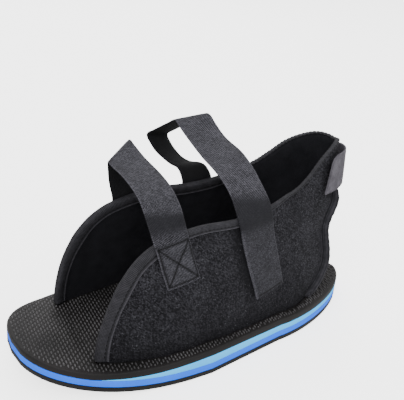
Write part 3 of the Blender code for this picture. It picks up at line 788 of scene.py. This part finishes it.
def make_binding(cloth, stitch):
    """The tape folded over the upper's edge, puckered along its seam."""
    rows = sections("edge_binding", TAPE_SECTION, TAPE_FOOT)
    rows, places = lengthwise(rows, length_marks(rows), cloth.step)
    outer, inner = arcs(rows)
    if reach(outer[:, 0]) < reach(outer[:, -1]):
        outer, inner = outer[:, ::-1], inner[:, ::-1]
    middle = rows.mean(1)
    keep = np.where(middle[:, 1] < 0, np.interp(middle[:, 0], LEG_PLACES, LEG_SHARES),
                    np.interp(middle[:, 0], FAR_LEG_PLACES, (FAR_LEG_SHARE, LEG_SHARES[-1])))
    outer = drawn_in(crosswise(outer, TAPE_PARTS), keep)
    inner = drawn_in(crosswise(inner, TAPE_PARTS), keep)
    last = outer.shape[1] - 1
    marks = lengths_across(outer)
    across = marks - marks[:, -1:] / 2
    share = np.abs(across) / (marks[:, -1:] / 2)
    normals = surface_normals(outer, inner)
    wide = np.clip((marks[:, -1:] - FLAT_LENGTH) / RELIEF_LENGTH, 0, 1)
    pucker = np.cos(places * 2 * math.pi / stitch.pitch)[:, None]
    dent = ridge(share, TAPE_SEAM, SEAM_DENT_WIDTH, SEAM_DENT + STITCH_DENT * pucker)
    shift = ridge(share, *LEG_RIDGE) - dent + ridge(share, *EDGE_RIDGE)
    outer = outer + normals * (shift * wide)[..., None]
    seam_columns = [np.interp(1 - TAPE_SEAM, np.linspace(0, 1, last // 2 + 1), np.arange(last // 2 + 1))]
    seam_columns.append(last - seam_columns[0])
    for column in seam_columns:
        sew(outer, normals, [(i, column) for i in range(2, len(outer) - 2)], stitch.pitch)
    around = np.concatenate([outer, inner[:, ::-1]], 1)
    inside = np.full((len(outer), inner.shape[1]), 0.5)
    facts = {"along": places[:, None], "across": np.concatenate([across, inside * 0], 1),
             "share": np.concatenate([share, inside], 1)}
    piece = finished("binding_tape", tube_mesh("binding_tape", around, facts),
                     tape_material("binding_tape", cloth))
    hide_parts("edge_binding")


def make_seam(cloth):
    """The tape folded over the standing seam at the heel."""
    rows = sections("heel_seam_binding", SEAM_SECTION, SEAM_FOOT)
    rows, places = lengthwise(rows, length_marks(rows), cloth.step)
    middle = rows.mean(1, keepdims=True)
    around = crosswise(np.concatenate([rows, rows[:, :1]], 1), SEAM_PARTS)[:, :-1]
    depth = np.linalg.norm(around - middle, axis=2)
    share = (around - middle) @ np.array(SEAM_ACROSS)
    share = np.clip(0.5 + share / SEAM_WIDTH, 0, 1)
    pucker = np.sin(places * 2 * math.pi / PUCKER_PITCH)[:, None] * PUCKER_DEPTH
    around = around + unit(around - middle) * pucker[..., None]
    canvas = bpy.data.objects["canvas_upper"].data
    wall = BVHTree.FromPolygons([v.co for v in canvas.vertices], [f.vertices for f in canvas.polygons])
    for row in around:
        found = [wall.find_nearest(Vector(point)) for point in row]
        gaps = np.array([(Vector(point) - spot[0]).dot(spot[1]) for point, spot in zip(row, found)])
        inward = -np.array(found[gaps.argmin()][1])
        foot = np.clip(1 - (gaps - gaps.min()) / SEAM_FOOT_DEPTH, 0, 1)
        row += foot[:, None] * inward * max(gaps.min() + SEAM_BITE, 0)
    facts = {"along": places[:, None], "across": depth, "share": 1 - share}
    piece = finished("seam_tape", tube_mesh("seam_tape", around, facts),
                     tape_material("seam_tape", cloth))
    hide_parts("heel_seam_binding")


# Straps and heel tab

# Points in a section, the way toward the first section, and how finely a section is cut
STRAP_SECTION = 10
STRAP_FOOT = (0.25, -0.1, -0.96)
TAB_SECTION = 12
TAB_FREE_END = (-1, 0.5, 0)
BAND_PARTS = 8
# A lengthened strap runs on in the direction from this row to its first one
AIM_ROW = 8
# Rounding of a band's edges: its width, the shares of the thickness that it takes off outside and inside, and
# how far the side stands out
EDGE_WIDTH = 0.0006
OUTER_ROUNDING = 0.36
INNER_ROUNDING = 0.30
SIDE_BULGE = 0.00025
# Trough along a band's edges: how far in, width, and depth as a share of the thickness
EDGE_TROUGH = (0.0022, 0.0009, 0.10)
# Width of the painted shade line in a stitched groove and of its dent, and the thickness that the pull is
# measured by
GROOVE_SHADE_LINE = 0.0008
GROOVE_WIDTH = 0.0012
WEBBING_THICKNESS = 0.0015
# Stitched lines are laid out on this many points
LINE_POINTS = 24


def longer_down(rows, places, more, step):
    """Rows with more of them added before the first one, laid on the upper as the first one lies."""
    wall = nearest_on("upper")

    def gap(point):
        nearest, normal, _, _ = wall.find_nearest(Vector(point))
        return (Vector(point) - nearest).dot(normal), np.array(normal)

    first = [gap(point)[0] for point in rows[0]]
    way = unit((rows[0] - rows[AIM_ROW]).mean(0))
    added = []
    for k in range(int(more / step), 0, -1):
        row = rows[0] + way * k * step
        for j, point in enumerate(row):
            here, normal = gap(point)
            row[j] = point + normal * (first[j] - here)
        added.append(row)
    count = len(added)
    return np.concatenate([added, rows]), np.concatenate([-step * np.arange(count, 0, -1), places])


def make_band(name, node, size, toward, start, step, material, dents, pull):
    """A flat band through a node's sections from a given start along them, with rounded edges and grooves
    along its rows of stitches."""
    rows = sections(node, size, toward)
    rows, places = lengthwise(rows, length_marks(rows), step)
    if start < 0:
        rows, places = longer_down(rows, places, -start, step)
    rows = rows[places >= start]
    places = places[places >= start]
    outer, inner = arcs(rows)
    outer = crosswise(outer, BAND_PARTS)
    inner = crosswise(inner, BAND_PARTS)
    columns = outer.shape[1]
    across = lengths_across(outer)
    share = np.linspace(0, 1, columns)[None, :]
    normals = surface_normals(outer, inner)
    thick = np.linalg.norm(outer - inner, axis=2)
    edge = np.minimum(across, across[:, -1:] - across)
    drop = ridge(edge, 0, EDGE_WIDTH, OUTER_ROUNDING) + ridge(edge, *EDGE_TROUGH)
    grid = np.stack([np.broadcast_to(places[:, None], across.shape), across], 2)
    groove = np.zeros(across.shape)
    for first, second in dents:
        first, second = np.array(first), np.array(second)
        run = second - first
        t = np.clip(((grid - first) @ run) / (run @ run), 0, 1)
        away = np.linalg.norm(grid - first - t[..., None] * run, axis=2)
        # Where a groove gets its painted shade
        groove = np.maximum(groove, ridge(away, 0, GROOVE_SHADE_LINE, 1))
        drop = drop + ridge(away, 0, GROOVE_WIDTH, pull / WEBBING_THICKNESS)
    outer = outer - normals * (thick * drop)[..., None]
    inner = inner + normals * (thick * ridge(edge, 0, EDGE_WIDTH, INNER_ROUNDING))[..., None]
    sides = []
    for column, near in ((-1, -2), (0, 1)):
        out = unit(outer[:, column] - outer[:, near])
        sides.append(((outer[:, column] + inner[:, column]) / 2 + out * SIDE_BULGE)[:, None])
    around = np.concatenate([outer, sides[0], inner[:, ::-1], sides[1]], 1)
    count = len(outer)
    facts = {
        "along": places[:, None],
        "across": np.concatenate([across, across[:, -1:], across[:, ::-1], across[:, :1]], 1),
        "share": np.concatenate([share, [[1]], share[:, ::-1], [[0]]], 1),
        # under: how much painted shade a point gets, full on the underside and part of it on the sides
        "under": np.concatenate([np.zeros((1, columns)), [[0.3]], np.ones((1, columns)), [[0.3]]], 1),
        "groove": np.concatenate([groove, np.zeros((count, columns + 2))], 1),
    }
    piece = finished(name, tube_mesh(name, around, facts), material)
    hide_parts(node)
    for first, second in dents:
        spots = []
        for t in np.linspace(0, 1, LINE_POINTS):
            length, width = np.array(first) + t * (np.array(second) - np.array(first))
            row = np.interp(length, places, np.arange(count))
            spots.append((row, np.interp(width, across[int(row)], np.arange(columns))))
        sew(outer, normals, spots, bpy.context.scene.shoe_stitch.pitch)


# Where the straps' near ends show, measured along them from their packed ends
FRONT_START = 0.0102
REAR_START = -0.0072
# Stitched box on the front strap, from start to end along it and from left to right across it, and the
# stitched line on the rear strap, where it lies along it and from left to right across it
FRONT_BOX = (0.0122, 0.0408, 0.0016, 0.0240)
REAR_LINE = (-0.0056, 0.0020, 0.0246)
# Plain dark bands along the straps: start, end and softness
FRONT_BANDS = ((0.049, 0.062, 0.004), (0.200, 0.214, 0.004))
REAR_BANDS = ((0.048, 0.071, 0.005), (0.240, 0.256, 0.005))
# Lighter patch along the front strap, and where the rear strap's folded edge, with its painted highlight,
# ends
FRONT_PATCH = (0.009, 0.0414)
REAR_FOLD = 0.052


def box_with_cross(start, end, left, right):
    """Lines of a stitched box with a cross in it."""
    corners = ((start, left), (end, left), (end, right), (start, right))
    lines = [(corners[k], corners[(k + 1) % 4]) for k in range(4)]
    return lines + [(corners[0], corners[2]), (corners[1], corners[3])]


def make_straps(webbing, stitch):
    """Both webbing straps with their stitched ends."""
    make_band("front_webbing", "front_strap", STRAP_SECTION, STRAP_FOOT, FRONT_START, webbing.step,
              webbing_material("front_webbing", webbing, FRONT_BANDS, patch=FRONT_PATCH),
              box_with_cross(*FRONT_BOX), stitch.pull)
    start, left, right = REAR_LINE
    lines = [((start, left), (start, right))]
    make_band("rear_webbing", "rear_strap", STRAP_SECTION, STRAP_FOOT, REAR_START, webbing.step,
              webbing_material("rear_webbing", webbing, REAR_BANDS, fold_highlight_end=REAR_FOLD), lines, stitch.pull)


def make_tab(cloth):
    """The heel tab of loop pile."""
    make_band("heel_tab_pile", "heel_tab", TAB_SECTION, TAB_FREE_END, 0, cloth.step, pile_material(), [], 0)


# Repeats made with Geometry Nodes

# Faces round and along a grain or stitch, and how much their lengths differ by chance
EGG_SEGMENTS = 6
EGG_RINGS = 4
LENGTH_SPREAD = (0.88, 1.10)
SPREAD_SEED = 7


def placing_tree(name, material):
    """Geometry Nodes that put an egg-shaped grain or stitch on each point, turned to its direction."""
    tree = bpy.data.node_groups.new(name, "GeometryNodeTree")
    face = tree.interface
    face.new_socket("Points", in_out="INPUT", socket_type="NodeSocketGeometry")
    for size in ("Length", "Width", "Height"):
        face.new_socket(size, in_out="INPUT", socket_type="NodeSocketFloat")
    face.new_socket("Geometry", in_out="OUTPUT", socket_type="NodeSocketGeometry")

    def add(kind, **settings):
        node = tree.nodes.new(kind)
        for key, value in settings.items():
            setattr(node, key, value)
        return node

    link = tree.links.new
    start = add("NodeGroupInput")
    egg = add("GeometryNodeMeshUVSphere")
    egg.inputs["Segments"].default_value = EGG_SEGMENTS
    egg.inputs["Rings"].default_value = EGG_RINGS
    egg.inputs["Radius"].default_value = 0.5
    facts = {}
    for key, kind in (("direction", "FLOAT_VECTOR"), ("normal", "FLOAT_VECTOR"), ("stretch", "FLOAT")):
        facts[key] = add("GeometryNodeInputNamedAttribute", data_type=kind)
        facts[key].inputs["Name"].default_value = key
    lay = add("FunctionNodeAlignRotationToVector", axis="X")
    link(facts["direction"].outputs["Attribute"], lay.inputs["Vector"])
    stand = add("FunctionNodeAlignRotationToVector", axis="Z", pivot_axis="X")
    link(lay.outputs["Rotation"], stand.inputs["Rotation"])
    link(facts["normal"].outputs["Attribute"], stand.inputs["Vector"])
    spread = add("FunctionNodeRandomValue", data_type="FLOAT")
    spread.inputs["Seed"].default_value = SPREAD_SEED
    ends = [socket for socket in spread.inputs if socket.type == "VALUE"]
    for socket, value in zip(ends, LENGTH_SPREAD):
        socket.default_value = value
    long = add("ShaderNodeMath", operation="MULTIPLY")
    link(start.outputs["Length"], long.inputs[0])
    link([socket for socket in spread.outputs if socket.type == "VALUE"][0], long.inputs[1])
    longer = add("ShaderNodeMath", operation="MULTIPLY")
    link(long.outputs[0], longer.inputs[0])
    link(facts["stretch"].outputs["Attribute"], longer.inputs[1])
    scale = add("ShaderNodeCombineXYZ")
    link(longer.outputs[0], scale.inputs["X"])
    link(start.outputs["Width"], scale.inputs["Y"])
    link(start.outputs["Height"], scale.inputs["Z"])
    put = add("GeometryNodeInstanceOnPoints")
    link(start.outputs["Points"], put.inputs["Points"])
    link(egg.outputs["Mesh"], put.inputs["Instance"])
    link(stand.outputs["Rotation"], put.inputs["Rotation"])
    link(scale.outputs["Vector"], put.inputs["Scale"])
    real = add("GeometryNodeRealizeInstances")
    link(put.outputs["Instances"], real.inputs["Geometry"])
    smooth = add("GeometryNodeSetShadeSmooth")
    link(real.outputs["Geometry"], smooth.inputs[0])
    paint = add("GeometryNodeSetMaterial")
    paint.inputs["Material"].default_value = material
    link(smooth.outputs[0], paint.inputs["Geometry"])
    end = add("NodeGroupOutput")
    link(paint.outputs["Geometry"], end.inputs["Geometry"])
    return tree


def place_all(name, spots, sizes, material):
    """A piece made of one small shape on each spot: (point, direction, normal) and perhaps its stretch."""
    mesh = bpy.data.meshes.new(name)
    mesh.from_pydata([tuple(spot[0]) for spot in spots], [], [])
    for k, key in ((1, "direction"), (2, "normal")):
        values = unit(np.array([spot[k] for spot in spots], dtype=float))
        mesh.attributes.new(key, "FLOAT_VECTOR", "POINT").data.foreach_set("vector", values.ravel())
    stretch = mesh.attributes.new("stretch", "FLOAT", "POINT")
    stretch.data.foreach_set("value", [spot[3] if len(spot) > 3 else 1.0 for spot in spots])
    piece = bpy.data.objects.new(name, mesh)
    bpy.context.scene.collection.objects.link(piece)
    tree = placing_tree(name, material)
    placing = piece.modifiers.new("Placing", "NODES")
    placing.node_group = tree
    for item in tree.interface.items_tree:
        if item.in_out == "INPUT" and item.name in sizes:
            placing[item.identifier] = sizes[item.name]
    applied(piece)
    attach(piece, "root")


def make_stitches(stitch):
    """All rows of stitches that the sewn pieces left."""
    sizes = {"Length": stitch.length, "Width": stitch.width, "Height": stitch.width}
    place_all("stitches", SEWN, sizes, thread_material())


# The sole

# Radius of the rounded edges of the outsole, the foam layers and the footbed
OUTSOLE_EDGE = 0.0004
FOAM_EDGE = 0.0003
FOOTBED_EDGE = 0.0005


def make_sole():
    """The firm layers of the sole with their edges rounded."""
    rounded_copy("outsole_rubber", "outsole", rubber_material("outsole_rubber"), OUTSOLE_EDGE)
    for name, node, base, light in (("midsole_foam", "midsole", FOAM_MID, FOAM_MID_LIGHT),
                                    ("wedge_foam", "wedge", FOAM_SKY, FOAM_SKY_LIGHT)):
        rounded_copy(name, node, foam_material(name, base, light), FOAM_EDGE)
    rounded_copy("footbed_rubber", "footbed", rubber_material("footbed_rubber"), FOOTBED_EDGE)


# The footbed's grains lie across the sole, turned a little toward the toe at the near side
GRAIN_DIRECTION = (0.10, 1.0, 0.0)
# Behind this place the grains are ribs, longer by this factor
HEEL_RIBS_X = 0.058
HEEL_RIB_FACTOR = 2.6
# Rows start and end this far outside the footbed, because they lie aslant, and are tried at this step
ROW_LEAN = 0.015
ROW_SAMPLE = 0.0005
# Space that the grains keep from the upper, measured this high above the footbed
UPPER_CLEARANCE = 0.0016
CLEARANCE_HEIGHT = 0.001
# The footbed's top is felt for from this height, and is where its face looks up at least this much
ABOVE_FOOTBED = 0.2
UPWARD = 0.9
# A grain cut shorter than this share of its length is left out
SHORTEST_GRAIN = 0.35


def make_grains(grain):
    """The raised grains on the footbed, kept off its edge and the upper."""
    bed = nearest_on("footbed")
    wall = nearest_on("upper")
    low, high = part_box("footbed")

    def on_top(x, y):
        point, normal, _, _ = bed.ray_cast(Vector((x, y, ABOVE_FOOTBED)), Vector((0, 0, -1)))
        return (point, normal) if point is not None and normal.z > UPWARD else None

    def free(x, y):
        here = on_top(x, y)
        if here is None:
            return False
        if wall.find_nearest(here[0] + Vector((0, 0, CLEARANCE_HEIGHT)), UPPER_CLEARANCE)[0] is not None:
            return False
        margin = grain.margin
        return None not in [on_top(x + dx, y + dy) for dx, dy in
                            ((margin, 0), (-margin, 0), (0, margin), (0, -margin))]

    spots = []
    for i in range(int((high.x - low.x + 2 * ROW_LEAN) / grain.row_pitch)):
        row_x = low.x - ROW_LEAN + i * grain.row_pitch
        length = grain.length * (HEEL_RIB_FACTOR if row_x > HEEL_RIBS_X else 1.0)
        pitch = length + grain.gap
        ys = np.arange(low.y, high.y, ROW_SAMPLE)
        open_here = np.array([free(row_x + y * GRAIN_DIRECTION[0], y) for y in ys])
        first = low.y + (i % 2) * pitch / 2
        for k in range(-1, int((high.y - low.y) / pitch) + 1):
            start = first + k * pitch
            inside = ys[open_here & (ys > start) & (ys < start + length)]
            if len(inside) * ROW_SAMPLE < grain.length * SHORTEST_GRAIN:
                continue
            y = (inside[0] + inside[-1]) / 2
            here = on_top(row_x + y * GRAIN_DIRECTION[0], y)
            if here is not None:
                stretch = (inside[-1] - inside[0] + ROW_SAMPLE) / grain.length
                spots.append((here[0], GRAIN_DIRECTION, here[1], stretch))
    sizes = {"Length": grain.length, "Width": grain.width, "Height": grain.height}
    # The grains get a lighter copy of the footbed's rubber: painted highlight on their tops
    place_all("footbed_grains", spots, sizes, rubber_material("grain_rubber_painted_highlight", GRAIN_HIGHLIGHT_DARK, GRAIN_HIGHLIGHT_LIGHT))


# Stage

CAMERA_PLACE = (-0.243931, -0.358376, 0.302469)
CAMERA_RIGHT = (0.8472672, -0.5241849, 0.08583983)
CAMERA_UP = (0.1530945, 0.39574001, 0.90551196)
CAMERA_BACK = (-0.50862595, -0.75406898, 0.41554736)
CAMERA_LENS = 59.148416
# Lights: name, place, width, power in watts
LIGHTS = (
    ("key", (-0.9, -1.1, 1.5), 1.2, 32),
    ("fill", (1.3, -0.9, 0.9), 1.4, 12),
    ("back", (0.3, 1.4, 1.3), 1.4, 14),
)
# Place that the lights look at
LIT_PLACE = (0, 0, 0.05)
SURROUNDINGS_STRENGTH = 1.35
# The floor: half its width, and how bright it glows
FLOOR_HALF = 30.0
FLOOR_GLOW = 2.4
FLOOR_COLOUR = (0.93, 0.93, 0.93, 1)
WHITE = (1, 1, 1, 1)


def make_stage():
    """Camera, floor, lights and white surroundings."""
    scene = bpy.context.scene
    camera = bpy.data.cameras.new("camera")
    camera.lens = CAMERA_LENS
    camera.sensor_width = 36
    camera.clip_start = 0.01
    eye = bpy.data.objects.new("camera", camera)
    scene.collection.objects.link(eye)
    turn = Matrix((CAMERA_RIGHT, CAMERA_UP, CAMERA_BACK)).transposed()
    eye.matrix_world = Matrix.Translation(CAMERA_PLACE) @ turn.to_4x4()
    scene.camera = eye
    for name, place, width, power in LIGHTS:
        light = bpy.data.lights.new(name, "AREA")
        light.size = width
        light.energy = power
        lamp = bpy.data.objects.new(name, light)
        lamp.location = place
        lamp.rotation_mode = "QUATERNION"
        lamp.rotation_quaternion = (Vector(place) - Vector(LIT_PLACE)).to_track_quat("Z", "Y")
        scene.collection.objects.link(lamp)
    world = bpy.data.worlds.new("white surroundings")
    world.use_nodes = True
    world.node_tree.nodes["Background"].inputs["Color"].default_value = WHITE
    world.node_tree.nodes["Background"].inputs["Strength"].default_value = SURROUNDINGS_STRENGTH
    scene.world = world
    mesh = bpy.data.meshes.new("floor")
    corners = [(x * FLOOR_HALF, y * FLOOR_HALF, 0) for x, y in ((-1, -1), (1, -1), (1, 1), (-1, 1))]
    mesh.from_pydata(corners, [], [(0, 1, 2, 3)])
    floor = bpy.data.objects.new("floor", mesh)
    scene.collection.objects.link(floor)
    mesh.materials.append(Finish("floor").done(FLOOR_COLOUR, roughness=0.9, Specular_IOR_Level=0.1,
                                               Emission_Color=WHITE, Emission_Strength=FLOOR_GLOW))
    floor.visible_diffuse = False
    floor.visible_glossy = False


# Operators and panel

class SHOE_OT_upper(bpy.types.Operator):
    """Make the canvas upper"""
    bl_idname = "shoe.upper"
    bl_label = "Canvas upper"

    def execute(self, context):
        make_upper(context.scene.shoe_cloth)
        return {"FINISHED"}


class SHOE_OT_tapes(bpy.types.Operator):
    """Make the edge binding and the heel seam's tape"""
    bl_idname = "shoe.tapes"
    bl_label = "Binding tapes"

    def execute(self, context):
        make_binding(context.scene.shoe_cloth, context.scene.shoe_stitch)
        make_seam(context.scene.shoe_cloth)
        return {"FINISHED"}


class SHOE_OT_straps(bpy.types.Operator):
    """Make both webbing straps"""
    bl_idname = "shoe.straps"
    bl_label = "Webbing straps"

    def execute(self, context):
        make_straps(context.scene.shoe_webbing, context.scene.shoe_stitch)
        return {"FINISHED"}


class SHOE_OT_heel_tab(bpy.types.Operator):
    """Make the heel tab of loop pile"""
    bl_idname = "shoe.heel_tab"
    bl_label = "Heel tab"

    def execute(self, context):
        make_tab(context.scene.shoe_cloth)
        return {"FINISHED"}


class SHOE_OT_stitches(bpy.types.Operator):
    """Make the rows of stitches on the tapes and straps"""
    bl_idname = "shoe.stitches"
    bl_label = "Stitches"

    def execute(self, context):
        make_stitches(context.scene.shoe_stitch)
        return {"FINISHED"}


class SHOE_OT_sole(bpy.types.Operator):
    """Make the sole's layers and the footbed's grains"""
    bl_idname = "shoe.sole"
    bl_label = "Sole"

    def execute(self, context):
        make_sole()
        make_grains(context.scene.shoe_grain)
        return {"FINISHED"}


class SHOE_OT_stage(bpy.types.Operator):
    """Set up the camera, floor and lights"""
    bl_idname = "shoe.stage"
    bl_label = "Stage"

    def execute(self, context):
        make_stage()
        return {"FINISHED"}


OPERATORS = (SHOE_OT_upper, SHOE_OT_tapes, SHOE_OT_straps, SHOE_OT_heel_tab, SHOE_OT_stitches, SHOE_OT_sole,
             SHOE_OT_stage)


class SHOE_PT_panel(bpy.types.Panel):
    """Sizes and steps of the shoe's looks"""
    bl_idname = "SHOE_PT_panel"
    bl_label = "Post operative shoe"
    bl_space_type = "VIEW_3D"
    bl_region_type = "UI"
    bl_category = "Shoe"

    def draw(self, context):
        for key, group in SETTINGS:
            box = self.layout.box()
            for name in group.__annotations__:
                box.prop(getattr(context.scene, key), name)
        for operator in OPERATORS:
            self.layout.operator(operator.bl_idname)


def register():
    """Registers the settings, operators and panel."""
    for key, group in SETTINGS:
        bpy.utils.register_class(group)
        setattr(bpy.types.Scene, key, bpy.props.PointerProperty(type=group))
    for made in OPERATORS + (SHOE_PT_panel,):
        bpy.utils.register_class(made)


def unregister():
    """Removes them again."""
    for made in reversed(OPERATORS + (SHOE_PT_panel,)):
        bpy.utils.unregister_class(made)
    for key, group in reversed(SETTINGS):
        delattr(bpy.types.Scene, key)
        bpy.utils.unregister_class(group)


def main():
    """Builds everything in order."""
    register()
    bpy.ops.shoe.upper()
    bpy.ops.shoe.tapes()
    bpy.ops.shoe.straps()
    bpy.ops.shoe.heel_tab()
    bpy.ops.shoe.stitches()
    bpy.ops.shoe.sole()
    bpy.ops.shoe.stage()


if __name__ == "__main__":
    main()
